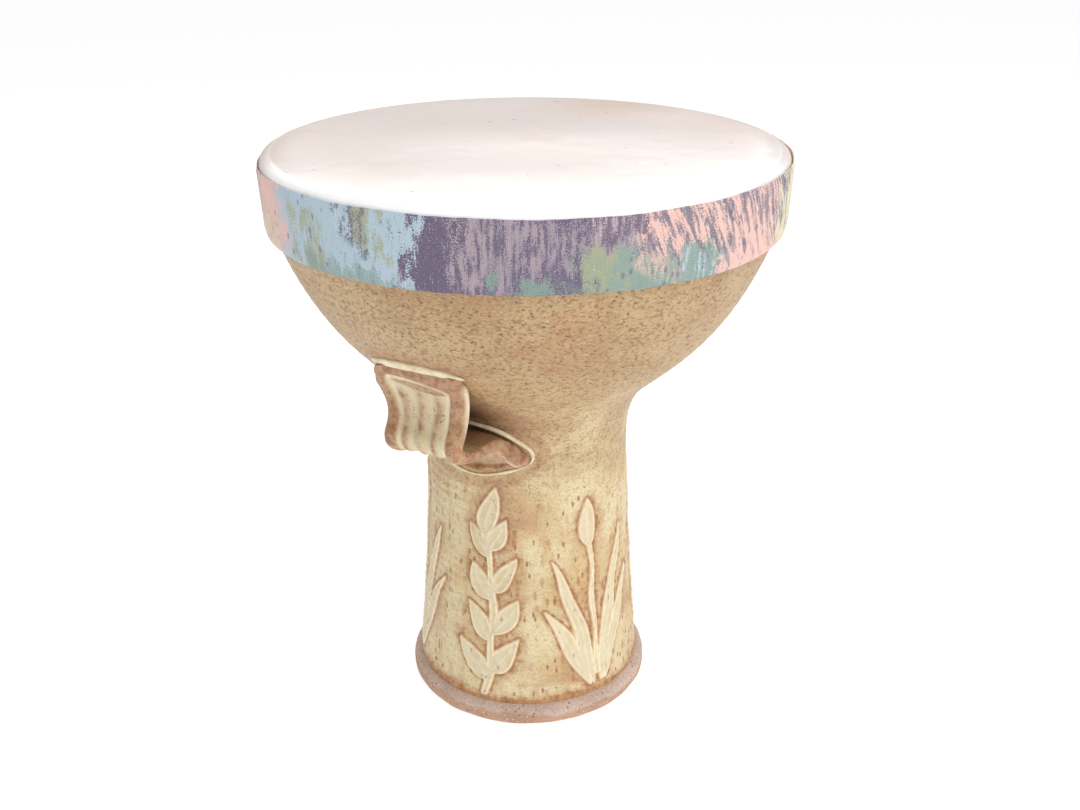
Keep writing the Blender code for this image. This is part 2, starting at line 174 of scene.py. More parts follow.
class Nodes:
    """The nodes of one shader. Each call adds a node and gives back its result, ready for the next call."""

    def __init__(self, owner, shader, **sockets):
        owner.use_nodes = True
        self.owner = owner
        self.tree = owner.node_tree
        self.shader = self.tree.nodes[shader]
        self.wear(**sockets)

    def put(self, socket, value):
        """Links a result to a socket, or sets the socket. A colour is given as its six hex digits."""
        if isinstance(value, bpy.types.NodeSocket):
            self.tree.links.new(value, socket)
        else:
            socket.default_value = colour(value) if isinstance(value, str) else value

    def wear(self, **sockets):
        """Sets the shader's own sockets, named with underscores for spaces."""
        for name, value in sockets.items():
            self.put(self.shader.inputs[name.replace("_", " ")], value)

    def node(self, kind, inputs, out=0, **settings):
        made = self.tree.nodes.new("ShaderNode" + kind)
        for name, value in settings.items():
            setattr(made, name, value)
        for key, value in inputs.items():
            self.put(made.inputs[key], value)
        return made.outputs[out]

    def place(self):
        return self.node("TexCoord", {}, out="Object")

    def height(self, vector):
        return self.node("SeparateXYZ", {"Vector": vector}, out="Z")

    def painted(self, name):
        return self.node("Attribute", {}, out="Fac", attribute_name=name)

    def sum(self, a, b):
        return self.node("Math", {0: a, 1: b}, operation="ADD")

    def times(self, a, b):
        return self.node("Math", {0: a, 1: b}, operation="MULTIPLY")

    def scaled(self, vector, by):
        return self.node("VectorMath", {0: vector, 1: by}, operation="MULTIPLY")

    def joined(self, a, b):
        return self.node("VectorMath", {0: a, 1: b}, operation="ADD")

    def noise(self, place, scale, detail=2, rough=0.5):
        inputs = {"Vector": place, "Scale": scale, "Detail": detail, "Roughness": rough}
        return self.node("TexNoise", inputs, out="Fac")

    def between(self, value, low, high, start=0, end=1):
        """A soft step of the value from low to high."""
        inputs = {"Value": value, "From Min": low, "From Max": high, "To Min": start, "To Max": end}
        return self.node("MapRange", inputs, interpolation_type="SMOOTHSTEP")

    def specks(self, place, scale, reach, share):
        """Round specks in a share of the cells of a scattered pattern. Their reach is a part of a cell."""
        off = self.node("TexVoronoi", {"Vector": place, "Scale": scale}, out="Distance")
        chance = self.node("SeparateColor", {"Color": off.node.outputs["Color"]}, out="Red")
        chosen = self.between(chance, 1 - share, 1.05 - share)
        return self.times(self.between(off, reach, 0.45 * reach), chosen)

    def over(self, share, under, upper):
        """Lays one colour over another by a share."""
        return self.node("Mix", {0: share, 6: under, 7: upper}, out=2, data_type="RGBA")

    def layered(self, under, *layers):
        """Lays colours over another in turn, each by a share at a strength."""
        for upper, share, strength in layers:
            under = self.over(self.times(share, strength), under, upper)
        return under

    def mottled(self, value, low, high, first, second):
        """Goes from one colour to another where a value goes from low to high."""
        return self.over(self.between(value, low, high), first, second)

    def bumped(self, height, strength, depth):
        inputs = {"Height": height, "Strength": strength, "Distance": depth}
        self.wear(Normal=self.node("Bump", inputs))


def new_finish(name, **sockets):
    """The nodes of a new material."""
    return Nodes(bpy.data.materials.new(name), "Principled BSDF", **sockets)


def stoneware_glaze():
    """Tan on the bowl and straw on the stem, iron-specked, brown where it breaks, pale over slip, painted
    shade by the strap.
    """
    glaze = new_finish("stoneware_glaze", IOR=1.5)
    place = glaze.place()
    around = glaze.node("VectorMath", {0: glaze.scaled(place, (1, 1, 0))}, operation="NORMALIZE")
    upright = glaze.scaled(place, (0, 0, 1))
    cloud = glaze.noise(place, 26, 4, 0.6)
    drift = glaze.sum(glaze.height(place), glaze.between(cloud, 0.3, 0.7, -0.020, 0.020))
    on_bowl = glaze.between(drift, 0.112, 0.184)

    straw = glaze.mottled(cloud, 0.40, 0.66, "ebdab0", "ddc18f")
    tan = glaze.mottled(cloud, 0.36, 0.66, "c5a87d", "b5936a")
    blush = glaze.noise(place, 34, 3, 0.55)
    finger_lines = glaze.noise(glaze.joined(glaze.scaled(around, (0.010,) * 3), upright), 620, 3, 0.6)
    streaks = glaze.noise(glaze.scaled(place, (1, 1, 0.30)), 190, 3, 0.6)
    clear = glaze.layered(
        glaze.over(on_bowl, straw, tan),
        ("be8a66", glaze.between(blush, 0.54, 0.72), 0.58),
        ("a98359", glaze.between(finger_lines, 0.50, 0.68), glaze.between(on_bowl, 0, 1, 0.06, 0.34)),
        ("cc9c62", glaze.between(streaks, 0.51, 0.72), glaze.between(on_bowl, 0, 1, 0.52, 0)),
    )

    grain = glaze.scaled(place, (1, 1, 1.6))
    soft_specks = glaze.between(glaze.noise(grain, 480, 2, 0.55), 0.49, 0.65)
    fine_specks = glaze.between(glaze.noise(grain, 1050, 1), 0.52, 0.72)
    light_specks = glaze.between(glaze.noise(grain, 760, 1), 0.44, 0.28)
    stretches = {0: on_bowl, 4: (1, 1, 0.42), 5: (1, 1, 1.35)}
    drawn_out = glaze.scaled(place, glaze.node("Mix", stretches, out=1, data_type="VECTOR"))
    wander = glaze.node("TexNoise", {"Vector": place, "Scale": 700, "Detail": 1}, out="Color")
    crooked = glaze.joined(drawn_out, glaze.scaled(wander, (0.0008,) * 3))
    rust_blots = glaze.specks(crooked, 290, 0.42, 0.42)
    rust_blots = glaze.times(rust_blots, glaze.between(cloud, 0.40, 0.60, 0.25, 0.80))
    dark_specks = glaze.specks(crooked, 400, 0.36, 0.34)
    specked = glaze.layered(
        clear,
        ("97714a", soft_specks, glaze.between(on_bowl, 0, 1, 0.20, 0.86)),
        ("a07c52", fine_specks, 0.44),
        ("e8d3a8", light_specks, 0.36),
        ("b07d47", rust_blots, glaze.between(on_bowl, 0, 0.7, 1, 0)),
        (glaze.over(on_bowl, "a06c3a", "744e2d"), dark_specks, 0.85),
    )

    broken = glaze.noise(place, 330, 4, 0.65)
    rusty = glaze.noise(place, 170, 3, 0.6)
    amber = glaze.mottled(broken, 0.34, 0.66, "ab7242", "cc9f6c")
    brown = glaze.layered(
        glaze.mottled(broken, 0.34, 0.66, "9c6b4c", "c39c78"),
        ("c58f60", glaze.between(rusty, 0.50, 0.72), 0.55),
        (amber, glaze.between(drift, 0.128, 0.100), 0.80),
        ("6d4228", dark_specks, 0.6),
    )
    ragged = glaze.times(glaze.painted("brown"), glaze.between(broken, 0.25, 0.62, 1.12, 0.66))
    shown = glaze.over(glaze.between(ragged, 0.06, 0.86), specked, brown)

    brushed = glaze.noise(glaze.scaled(place, (1, 1, 0.35)), 210, 3)
    slip = glaze.mottled(brushed, 0.35, 0.65, "e8dcbd", "dccba2")
    slip = glaze.layered(slip, ("8f673c", dark_specks, 0.55))
    line = glaze.mottled(broken, 0.42, 0.70, "fdeed0", "f0d6ae")
    shown = glaze.layered(
        shown,
        (slip, glaze.painted("slip"), glaze.between(brushed, 0.30, 0.52, 0.55, 1)),
        (line, glaze.painted("pale"), 1),
        # the near-black is painted shade in the hollow behind and under the strap
        ("3d2818", glaze.painted("painted_shade"), 1),
    )

    pits = glaze.noise(place, 1500, 2)
    glaze.wear(Base_Color=shown, Roughness=glaze.between(broken, 0.2, 0.8, 0.40, 0.62))
    glaze.bumped(glaze.sum(glaze.times(broken, 0.6), glaze.times(pits, 0.4)), 0.22, 0.0005)
    return glaze.owner


glazed = stoneware_glaze()


def bowl_rows():
    """The bowl's outline as (radius, height) points: up the outside, over the rim and down the inside."""
    swelling = np.linspace(THROAT_SEAM, COLLAR_HEIGHT, 92)
    outside = np.concatenate([swelling, np.linspace(COLLAR_HEIGHT, RIM_TURN, 14)[1:]])
    turn = np.linspace(0, pi, 17)[1:-1]
    crown = wall_radius(RIM_HEIGHT) - RIM_ROUND
    reach = np.where(turn < pi / 2, RIM_ROUND, SHELL_WALL - RIM_ROUND)
    rim = np.stack([crown + reach * np.cos(turn), RIM_TURN + RIM_ROUND * np.sin(turn)], axis=-1)
    inside = np.concatenate([[RIM_TURN], np.linspace(COLLAR_HEIGHT, THROAT_SEAM, 34)])
    inner = np.stack([inner_radius(inside), inside], axis=-1)
    return np.concatenate([np.stack([wall_radius(outside), outside], axis=-1), rim, inner]), len(outside)


bowl_line, bowl_outside = bowl_rows()
bowl_angle = np.arange(BOWL_TURNS)[None, :] * tau / BOWL_TURNS
bowl_radius = np.repeat(bowl_line[:, :1], BOWL_TURNS, axis=1)
bowl_height = bowl_line[:, 1:]
under_collar = swell(COLLAR_HEIGHT - 1, COLLAR_HEIGHT - 9, bowl_height)
over_seam = swell(THROAT_SEAM, THROAT_SEAM + 12, bowl_height)
thrown = hand_wobble(bowl_angle, bowl_height) * under_collar * over_seam
bowl_radius[:bowl_outside] += thrown[:bowl_outside]
bowl = closed_mesh("bowl", on_axis(bowl_radius, bowl_angle, bowl_height), looped=True)
bowl.data.materials.append(glazed)

# The glaze is brown close under the band, strongest on the camera's left, and burned brown above the
# handle's joint and in two blushes. The brown on the wall behind the strap and the near-black in the hollow
# under it are painted shade.
from_handle = (bowl_angle - pi) * bowl_radius
over_joint = hump(bowl_height, JOINT_CROWN - JOINT_ARCH * from_handle**2, 3.6)
over_joint = over_joint * swell(31, 25, np.abs(from_handle))
# Painted shade: brown on the wall behind the strap
shade_behind_strap = hump(from_handle, 12, 22) * hump(bowl_height, 172, 14)
under_band_brown = 0.34 * hump(bowl_height, COLLAR_HEIGHT - 2, 7) * (0.6 + 0.4 * np.cos(bowl_angle - 2.4))
blushed = 0.62 * hump(bowl_angle, BLUSH_ANGLE, 9 / BLUSH_RADIUS) * hump(bowl_height, 206, 6)
flushed = 0.50 * hump(bowl_angle, FLUSH_ANGLE, 22 / BLUSH_RADIUS) * hump(bowl_height, 221, 9)
bowl_brown = np.maximum.reduce([0.75 * over_joint, under_band_brown, 0.85 * shade_behind_strap, blushed, flushed])
# Painted shade: near-black in the hollow under the strap
shade_in_hollow = 0.80 * hump(from_handle, 4, 17) * hump(bowl_height, 166, 15)
for name, tone in (("brown", bowl_brown), ("painted_shade", shade_in_hollow)):
    tone[bowl_outside:] = 0
    paint_on(bowl, name, tone)
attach(bowl, "root")
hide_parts("bowl_shell", "throat_slip_ring")


# The stem. A thrown tube, open at the foot, luted under the bowl. Sprigs of leaves and reeds are laid on in
# pale slip, each with a raised outline scratched round it, so that the glaze breaks brown along the edges.

STEM_TURNS = 700
SPRIG_COUNT, SPRIG_START, SPRIG_BASE = 6, radians(190.0), 15.0
SLIP_RISE, OUTLINE_RISE, SCRATCH_DEPTH = 0.30, 0.66, 0.30
PLAIN_FOOT, PLAIN_NECK = 12.0, 131.0
PAD_RING_HEIGHT, PAD_RING_HALF, PAD_RING_RISE = 145.0, 34.0, 18.5


def leaf_gap(s, z, root, lean, length, half_width, bend):
    """How far points lie outside a leaf, and off its vein. It grows from its root at a lean, in degrees."""
    tilt = radians(lean)
    along = (z - root[1]) * cos(tilt) + (s - root[0]) * sin(tilt)
    off = (s - root[0]) * cos(tilt) - (z - root[1]) * sin(tilt) - bend * along**2 / length
    share = np.clip(along / length, 0, 1)
    half = half_width * np.sin(pi * share**0.80) ** 0.85
    past = along - share * length
    gap = np.hypot(np.maximum(np.abs(off) - half, 0), past) + np.minimum(np.abs(off) - half, 0)
    vein = np.hypot(off, along - np.clip(along, 0.10 * length, 0.80 * length))
    return gap, vein


def stalk_gap(s, z, line, low, high, half_base, half_tip):
    """How far points lie outside a stalk that follows a line of s by height."""
    nearest = np.clip(z, low, high)
    half = half_base + (half_tip - half_base) * (nearest - low) / (high - low)
    return np.hypot(s - line(nearest), z - nearest) - half


def plant_gap(stalk, leaves):
    """The least gap to a stalk and its leaves, and to the leaves' veins."""
    gaps, veins = zip(*leaves)
    return np.minimum.reduce([stalk, *gaps]), np.minimum.reduce(list(veins))


def leafy_sprig(s, z, side, top):
    """A gently curved stalk with pairs of upswept leaves, smaller towards the one at its tip."""

    def line(height):
        return side * 3 * np.sin(1.4 * pi * (height - SPRIG_BASE) / (top - SPRIG_BASE))

    tip = (float(line(top - 23)), top - 23)
    leaves = [leaf_gap(s, z, tip, 5 * side, 24, 4.6, 0.08 * side)]
    for i, height in enumerate(np.linspace(SPRIG_BASE + 9, top - 33, 4)):
        for out in (-1, 1):
            root = (float(line(height)), height + 2 * out * side)
            lean, length, half_width = out * (46 - 3 * i), 24 - 1.9 * i, 5 - 0.35 * i
            leaves.append(leaf_gap(s, z, root, lean, length, half_width, -0.15 * out))
    return plant_gap(stalk_gap(s, z, line, SPRIG_BASE, top - 20, 1.5, 0.8), leaves)


def reed_clump(s, z, side, top):
    """Narrow blades that spread from one root, and a seed head on a stalk between them."""

    def line(height):
        return -side * 2.5 * ((height - SPRIG_BASE) / (top - SPRIG_BASE)) ** 2

    tip = (float(line(top - 24)), top - 24)
    leaves = [leaf_gap(s, z, tip, -4 * side, 24, 4.4, 0)]
    for lean, length in ((-20, 50), (-10, 74), (9, 82), (18, 58)):
        bend = copysign(0.09, side * lean)
        leaves.append(leaf_gap(s, z, (side * 0.22 * lean, SPRIG_BASE), side * lean, length, 3.3, bend))
    return plant_gap(stalk_gap(s, z, line, SPRIG_BASE + 6, top - 20, 1, 0.8), leaves)


def sprig_relief(angle, height):
    """Nearest outline and vein of all the sprigs round the stem, at each angle and height."""
    plants = []
    for i in range(SPRIG_COUNT):
        centre = SPRIG_START + i * tau / SPRIG_COUNT
        s = wall_radius(height) * (np.mod(angle - centre + pi, tau) - pi)
        unsteady = 0.55 * np.sin(height / 5.3 + 2 * i) + 0.40 * np.sin(s / 3.9 + height / 7)
        kind = leafy_sprig if i % 2 == 0 else reed_clump
        side = 1 if i % 4 < 2 else -1
        top = 119 + 5 * cos(2.3 * i)
        plants.append(kind(s + unsteady, height + 0.6 * unsteady, side, top))
    return np.minimum.reduce(plants)


stem_height = np.concatenate([
    np.linspace(STEM_FOOT, PLAIN_FOOT, 9),
    np.linspace(PLAIN_FOOT, PLAIN_NECK, 200)[1:],
    np.linspace(PLAIN_NECK, THROAT_SEAM, 22)[1:],
])[:, None]
stem_angle = np.arange(STEM_TURNS)[None, :] * tau / STEM_TURNS
outline, vein = sprig_relief(stem_angle, stem_height)
bare_foot = swell(11.5, 14, stem_height)
waver = 0.25 * np.sin(7 * stem_angle + stem_height / 5)
inside = swell(0.5, -0.6, outline)
ridge = hump(outline + waver, 0, 0.60)
scratch = hump(outline + waver, 1.35, 0.60)
veined = hump(vein, 0, 0.5) * swell(-1.2, -2.2, outline)
relief = SLIP_RISE * inside + OUTLINE_RISE * ridge - SCRATCH_DEPTH * scratch + 0.30 * veined
to_throat = swell(THROAT_SEAM, THROAT_SEAM - 12, stem_height)
glaze_roll = 0.35 * hump(stem_height, 11.6 + 0.5 * np.sin(5 * stem_angle), 1)
stem_radius = wall_radius(stem_height) + hand_wobble(stem_angle, stem_height) * to_throat * bare_foot
stem_radius = stem_radius + relief * bare_foot + glaze_roll
bore_height = np.linspace(THROAT_SEAM, STEM_FOOT, 12)[:, None]
stem_rows = np.concatenate([
    on_axis(stem_radius, stem_angle, stem_height),
    on_axis(inner_radius(bore_height), stem_angle, bore_height),
])
stem = closed_mesh("stem", stem_rows, looped=True)
stem.data.materials.append(glazed)

# The glaze is brown along the scratches, in patches beside them, at the foot and round the handle's pad. The
# brown on the wall behind the strap and the dark tone in the hollow under it, darkest just under the slip
# loop, are painted shade.
glaze_end = 11 + 0.7 * np.sin(5 * stem_angle) + 0.4 * np.sin(13 * stem_angle)
above_end = 0.80 * swell(glaze_end + 8, glaze_end, stem_height)
foot_edge = np.maximum(2.1 * hump(stem_height, glaze_end, 1.9), above_end)
beside_pad = (stem_angle - pi) * WAIST_RADIUS
over_pad = stem_height - PAD_RING_HEIGHT
round_pad = hump(np.hypot(beside_pad / PAD_RING_HALF, over_pad / PAD_RING_RISE), 1, 0.16)
around = stem_angle * 53
patchy = 0.5 + 0.5 * np.sin(around / 9 + stem_height / 14) * np.sin(stem_height / 11 - around / 17)
patches = (0.38 + 0.42 * patchy) * hump(outline, 1, 3 + 4.5 * patchy) * swell(0.2, 1.2, outline)
halo = 0.70 * scratch + patches
# Painted shade: brown behind the strap, and a dark tone under it, darkest just under the slip loop
shade_behind_strap = hump(beside_pad, 10, 20) * swell(146, 158, stem_height)
shade_under_loop = 0.40 * swell(149, 157, stem_height) + 0.45 * hump(stem_height, 158.8, 2.4)
stem_tones = {
    "brown": np.maximum.reduce([halo * bare_foot, foot_edge, 0.60 * round_pad, 0.85 * shade_behind_strap]),
    "painted_shade": shade_under_loop * hump(beside_pad, 4, 17),
    "slip": inside * bare_foot,
    "pale": np.clip(ridge + 0.5 * veined, 0, 1) * bare_foot,
}
for name, tone in stem_tones.items():
    paint_on(stem, name, np.concatenate([tone, np.zeros((len(bore_height), STEM_TURNS))]))
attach(stem, "root")
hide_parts("stem_tube")


# The foot ring. A roll of the same clay left bare of glaze, bevelled on top with a wooden tool and rounded
# below where the drum stands. The stem is bedded in it.

FOOT_TURNS = 300
TRIM_LOW, TRIM_SIDE = 1.5, radians(140.0)
foot_ends = [
    (49.4, 2),
    (49.9, 0.6), (50.8, 0), (52, 0),
    (55, 0), (57, 0), (58.4, 0),
    (60, 0.1), (60.9, 1.1), (61, 2.9),
    (61.05, 4.2), (61.1, 5), (61, 6.2),
    (60.9, 7.3), (60.4, 7.9), (59.7, 8.5),
    (59, 9.1), (58, 9.7), (56.5, 10.1),
    (56.4, 8), (56.4, 6), (56.4, 4.2),
    (54, 4.2), (52, 4.2), (49.4, 4.2),
]
foot_line = curves(foot_ends, 8, 6, 10, 7, 8, 8, 6, 6)
foot_angle = np.arange(FOOT_TURNS)[None, :] * tau / FOOT_TURNS
foot_radius, foot_height = foot_line[:, :1], foot_line[:, 1:]
seen_side = swell(58, 60, foot_radius)
dents = 0.16 * np.sin(9 * foot_angle + 1.3 * np.sin(4 * foot_angle))
dents = dents + 0.10 * np.sin(23 * foot_angle + foot_height)
foot = closed_mesh("foot", on_axis(foot_radius + dents * seen_side, foot_angle, foot_height), looped=True)
less_bevel = TRIM_LOW * MM * swell(0.1, 0.9, np.cos(foot_angle - TRIM_SIDE))
paint_on(foot, "less_bevel", np.broadcast_to(less_bevel, (len(foot_line), FOOT_TURNS)))


def bare_clay():
    """Fired clay without glaze: warm brown, greyer on the bevel, with light and dark grains of grog."""
    clay = new_finish("bare_clay", Roughness=0.86)
    place = clay.place()
    cloud = clay.noise(place, 60, 4, 0.6)
    lower = clay.mottled(cloud, 0.35, 0.65, "bd957e", "cda78d")
    bevel = clay.mottled(cloud, 0.35, 0.65, "cbb2a4", "d8bfb0")
    raised = clay.sum(clay.height(place), clay.between(cloud, 0.3, 0.7, -0.0012, 0.0012))
    raised = clay.sum(raised, clay.times(clay.painted("less_bevel"), -1))
    body = clay.mottled(raised, 0.0048, 0.0070, lower, bevel)
    grain = clay.noise(place, 1300, 2)
    body = clay.over(clay.between(grain, 0.46, 0.32, 0, 0.60), body, "94705c")
    light, dark = clay.specks(place, 620, 0.36, 0.60), clay.specks(place, 480, 0.32, 0.30)
    clay.wear(Base_Color=clay.layered(body, ("e3d3c4", light, 0.80), ("6f4b39", dark, 0.75)))
    clay.bumped(clay.noise(place, 900, 4, 0.65), 0.5, 0.0006)
    return clay.owner


foot.data.materials.append(bare_clay())
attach(foot, "root")
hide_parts("foot_ring")


# The handle. A strap pulled from a lump of clay, rolled up at its edges and combed into ribs. It hangs from
# the bowl, turns in at the knee, and its end is thumbed down on the stem as an oval pad.

HANDLE_ANGLE = pi
HANDLE_TOP, HANDLE_RUN, KNEE = 199.2, 155.6, 164.6
PAD_TOP, PAD_BOTTOM = 148.1, 134.8
STRAP_RADIUS, SWAY = 81.1, 2.2
STRAP_THICKNESS, PAD_THICKNESS, PAD_EDGE = 5.5, 4.5, 1.5
BITE = 2.5
TOP_WIDTH, WAIST_WIDTH, PAD_WIDTH, PAD_HEIGHT = 51.0, 39.0, 55.0, 20.8
TOP_DROOP, STRAP_TILT = 4.0, 0.055
PAD_SAG, SAG_START, SAG_END = 4.0, 11.0, 30.0
NEAR_TRIM, FAR_TRIM = 0.11, 0.17
EDGE_THIN = 1.8
PAD_MIDDLE = HANDLE_RUN - PAD_HEIGHT / 2.0
BORDER, FAR_BORDER, BORDER_RISE, RIB_RISE = 6.2, 7.6, 1.9, 0.85
RIBS = ((-0.38, 1.9), (0.02, 2.2), (0.46, 2.8))  # share across the strap, and width
RIBS_START, RIBS_END, PAD_START = (11.0, 17.0), (66.0, 54.0), (56.0, 72.0)
EYE_Y, EYE_HEIGHT, EYE_HALF, EYE_RISE = -15.0, 140.4, 15.7, 7.6
STRAP_STATIONS, FACE_POINTS, BACK_POINTS = 190, 120, 30


def strap_line():
    """The strap's middle line from bowl to pad in even steps of radius, height, thickness and way along."""
    third = (HANDLE_TOP - KNEE) / 3
    pad_radius = float(wall_radius(PAD_TOP)) + (PAD_THICKNESS - BITE) / 2
    half_way = (STRAP_RADIUS + pad_radius) / 2
    ends = [
        (float(wall_radius(HANDLE_TOP)) - BITE, HANDLE_TOP),
        (STRAP_RADIUS + SWAY / 2, HANDLE_TOP - third),
        (STRAP_RADIUS - 2 * SWAY, KNEE + third),
        (STRAP_RADIUS + SWAY, KNEE),
        (STRAP_RADIUS + 2 * SWAY, (KNEE + HANDLE_RUN) / 2),
        (STRAP_RADIUS + SWAY, HANDLE_RUN),
        (half_way, HANDLE_RUN),
        ((half_way + 2 * pad_radius) / 3, HANDLE_RUN),
        (pad_radius, HANDLE_RUN - (HANDLE_RUN - PAD_TOP) / 3),
        (pad_radius, PAD_TOP),
    ]
    strap = curves(ends, 80, 60, 60)
    strap = np.column_stack([strap, np.full(len(strap), STRAP_THICKNESS)])
    down = np.linspace(PAD_TOP, PAD_BOTTOM, 50)[1:]
    stand_off = PAD_EDGE + (PAD_THICKNESS - PAD_EDGE) * swell(PAD_BOTTOM, PAD_TOP, down)
    pad = np.column_stack([wall_radius(down) + (stand_off - BITE) / 2, down, stand_off + BITE])
    line = np.concatenate([strap, pad])
    travel = np.concatenate([[0], np.cumsum(np.hypot(*np.diff(line[:, :2], axis=0).T))])
    even = np.linspace(0, travel[-1], STRAP_STATIONS)
    return np.column_stack([np.interp(even, travel, line[:, i]) for i in range(3)] + [even])


def strap_half_width(height):
    """Half the strap's width: wide on the bowl, narrow at the knee and oval on the stem."""
    flare = swell(HANDLE_RUN, HANDLE_TOP, height) ** 2
    strap = (WAIST_WIDTH + (TOP_WIDTH - WAIST_WIDTH) * flare) / 2
    half = PAD_HEIGHT / 2
    offset = (height - HANDLE_RUN + half) / half
    oval = PAD_WIDTH / 2 * np.sqrt(np.maximum(1 - offset**2, 0.10))
    return np.where(offset < 0, oval, np.maximum(strap, oval))


def roll_of_clay(off, width):
    """The rounded section of a rolled edge, height 1 in its middle and 0 at its sides."""
    return np.sqrt(np.clip(1 - (2 * off / width) ** 2, 0, 1))


def unit(vectors):
    """Each vector at a length of 1."""
    return vectors / np.linalg.norm(vectors, axis=1, keepdims=True)


strap = strap_line()
station_radius, station_height, station_thick, travel = (strap[:, i : i + 1] for i in range(4))
station_thick = station_thick * (0.55 + 0.45 * swell(0, 7, travel))
half_width = strap_half_width(station_height)
level_end = swell(7, 0, travel)
heading = unit(np.gradient(strap[:, :2], axis=0)) * (1 - level_end)
heading = unit(heading + np.array([[0, -1]]) * level_end)
up_leg = swell(HANDLE_RUN, HANDLE_TOP, station_height)

# Across the face: y runs from the near side of the strap to its far side, which is a little fuller
share = np.linspace(-1, 1, FACE_POINTS)[None, :]
near_half = half_width * (1 - NEAR_TRIM * up_leg)
far_half = half_width * (1 - FAR_TRIM * swell(9, 0, travel))
half_there = np.where(share < 0, near_half, far_half)
y = share * half_there
wander = 0.5 * np.sin(travel / 7 + 3 * share) + 0.3 * np.sin(travel / 3.1 + 1)
border_width = np.where(share < 0, BORDER, FAR_BORDER)
border_off = np.abs(y) - (half_there - border_width / 2)
border = roll_of_clay(border_off, border_width + 0.5 * wander)
floor_half = half_there - border_width

# On the stem the rolled edge closes into an oval round a sunken eye
below_middle = np.minimum(station_height - PAD_MIDDLE, 0) / (PAD_HEIGHT / 2)
in_oval = np.hypot(2 * y / PAD_WIDTH, below_middle)
from_eye = np.where(below_middle < 0, in_oval, np.abs(y) / half_there)
on_pad = swell(*PAD_START, travel)
pad_roll = roll_of_clay((from_eye - 0.90) * PAD_WIDTH / 2, 6.8)
border = border + (pad_roll - border) * on_pad
eye_across, eye_up = (y - EYE_Y) / EYE_HALF, (station_height - EYE_HEIGHT) / EYE_RISE
from_eye_middle = eye_across**2 + np.abs(eye_up) ** 1.4
eye = on_pad * swell(1.02, 0.72, from_eye_middle)
eye_edge = on_pad * hump(from_eye_middle, 1.06, 0.13) * swell(-0.1, 0.4, eye_up)
eye_edge = eye_edge * swell(0.9, 0.6, np.abs(eye_across))
crest = on_pad * hump(station_height, 152.6, 1.3) * hump(y, -14, 7)

# Combed ribs down the leg, under a brow that thickens towards the near side and a leaf-shaped dab below it
on_leg = swell(*RIBS_START, travel) * swell(*RIBS_END, travel)
ribs = sum(hump(y + 0.7 * wander, place * half_width, width) for place, width in RIBS)
ribs = ribs * on_leg * (border <= 0)
near_share = (1 - share) / 2
brow_line = 4.4 + 7 * near_share**1.7
below_brow = travel - brow_line
brow = swell(-0.2, 0.6, travel) * swell(0.5, -0.7, below_brow)
brow_edge = hump(below_brow, 1.1, 0.75) * swell(-0.6, 1, floor_half - np.abs(y))
leaf_depth = 4.6 * np.clip(1 - ((near_share - 0.52) / 0.34) ** 2, 0, 1)
leaf = swell(1.8, 2.4, below_brow) * swell(2.6, 1.6, below_brow - leaf_depth)
leaf = leaf * (leaf_depth > 0) * (border <= 0)
raised = np.maximum(border, roll_of_clay(travel - brow_line / 2, brow_line) * brow)
lift = BORDER_RISE * raised + RIB_RISE * ribs + 0.35 * leaf - 0.35 * brow_edge
lift = lift - 1.1 * eye + 0.35 * eye_edge + 0.12 * wander * (1 - raised)
face_out = station_thick / 2 + lift

# Round the section: the ribbed outer face, one rounded edge, the plain inner face and the other edge
edge_turn = np.linspace(0, pi, 12)[1:-1][None, :]
thinned = EDGE_THIN * swell(PAD_TOP, KNEE, station_height)
edge_y = station_thick / 3.4 * np.sin(edge_turn) * 0.9
edge_lift = station_thick * np.cos(edge_turn) / 2 + thinned * (1 - np.cos(edge_turn)) / 2
back_share = np.linspace(1, -1, BACK_POINTS)[None, :]
back_y = back_share * np.where(back_share < 0, near_half, far_half)
back_lift = thinned * back_share**4 - station_thick / 2


def round_section(face, far_edge, back, near_edge):
    """One number for each point round the strap's section: face, far edge, back and near edge."""
    return np.concatenate([face, far_edge, back + 0 * back_y, near_edge[:, ::-1]], axis=1)


section_y = round_section(y, far_half + edge_y, back_y, -near_half - edge_y)
section_lift = round_section(face_out, edge_lift, back_lift, edge_lift)
wrap = 1 - swell(PAD_TOP, HANDLE_RUN, station_height) + up_leg
droop = TOP_DROOP * up_leg * (section_y / half_width) ** 2
tilt = STRAP_TILT * swell(PAD_TOP - 4, KNEE, station_height) * section_y
sag = PAD_SAG * swell(SAG_START, SAG_END, -section_y) * swell(KNEE - 6, PAD_TOP + 2, station_height)
sag = sag * swell(PAD_BOTTOM, PAD_TOP, station_height)
out = station_radius - heading[:, 1:] * section_lift
up = station_height + heading[:, :1] * section_lift - droop - tilt - sag
x = out + wrap * out * (np.cos(section_y / out) - 1)
sideways = section_y + wrap * (out * np.sin(section_y / out) - section_y)
handle = closed_mesh("handle", np.stack([-x, sideways, up], axis=-1), looped=False)
handle.data.materials.append(glazed)

